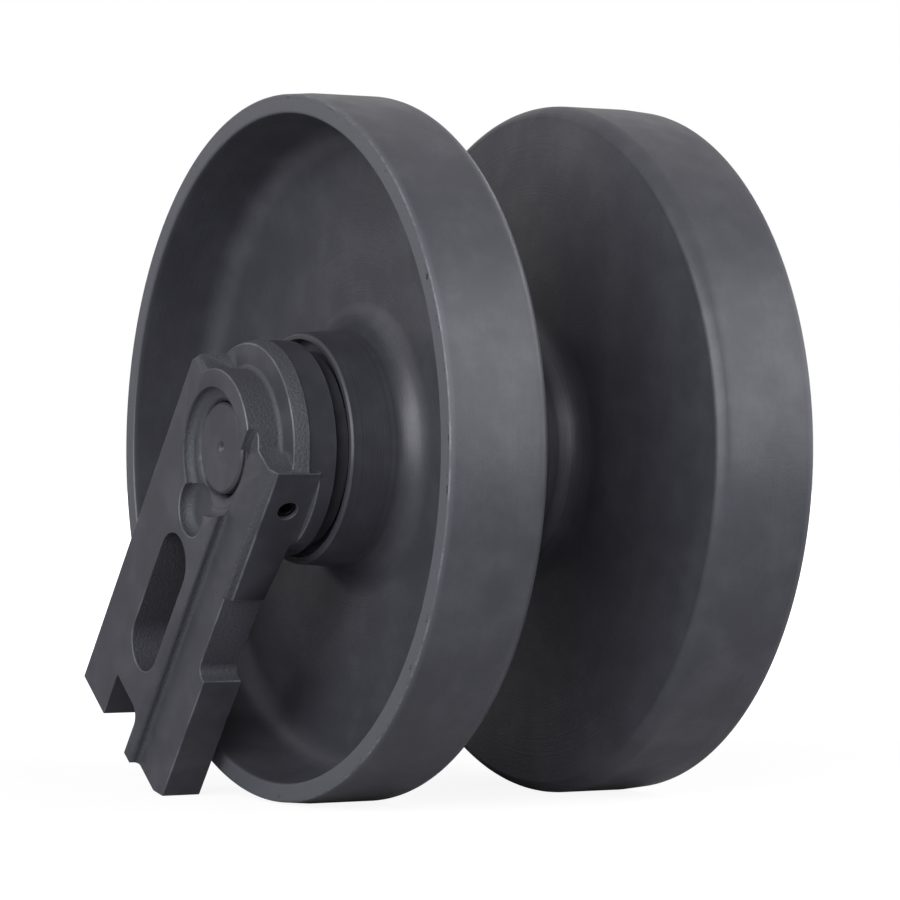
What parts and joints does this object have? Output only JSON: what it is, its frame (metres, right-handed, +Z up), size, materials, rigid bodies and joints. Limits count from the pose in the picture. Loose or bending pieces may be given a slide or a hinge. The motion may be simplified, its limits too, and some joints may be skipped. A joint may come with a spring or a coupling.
{
  "type": "track front idler",
  "caption": "Dished track idler wheel with a guide groove, turning on a pinned oil-filled axle between cast slide brackets with slotted legs.",
  "frame": {"origin": "centre of the axle, midway between the rims", "axes": "+Y along the wheel's axis, +Z up, -X the way the brackets lean as they go down"},
  "size_m": [0.3499, 0.27, 0.35],
  "materials": {
    "wheel_paint": "satin dark grey paint over turned steel",
    "bracket_paint": "satin dark grey paint over a sand casting",
    "axle_steel": "turned steel, its ends painted with the bracket",
    "bush_bronze": "turned bronze",
    "seal_iron": "lapped iron",
    "seal_rubber": "black rubber",
    "pin_steel": "spring steel",
    "plug_steel": "turned steel"
  },
  "bodies": {
    "axle_assembly": {"bracket_left": "bracket_paint", "bracket_right": "bracket_paint", "axle_shaft": "axle_steel", "bracket_seal_ring_left": "seal_iron", "bracket_seal_ring_right": "seal_iron", "bracket_seal_cord_left": "seal_rubber", "bracket_seal_cord_right": "seal_rubber", "shaft_ring_left": "seal_rubber", "shaft_ring_right": "seal_rubber", "lock_pin_left": "pin_steel", "lock_pin_right": "pin_steel", "oil_plug": "plug_steel"},
    "wheel": {"wheel_half_left": "wheel_paint", "wheel_half_right": "wheel_paint", "hub_weld": "wheel_paint", "bush_left": "bush_bronze", "bush_right": "bush_bronze", "hub_seal_ring_left": "seal_iron", "hub_seal_ring_right": "seal_iron", "hub_seal_cord_left": "seal_rubber", "hub_seal_cord_right": "seal_rubber"}
  },
  "joints": [
    {"name": "wheel_spin", "type": "hinge", "parent": "axle_assembly", "child": "wheel", "pos_m": [0, 0, 0], "axis": [0, 1, 0], "continuous": true}
  ]
}
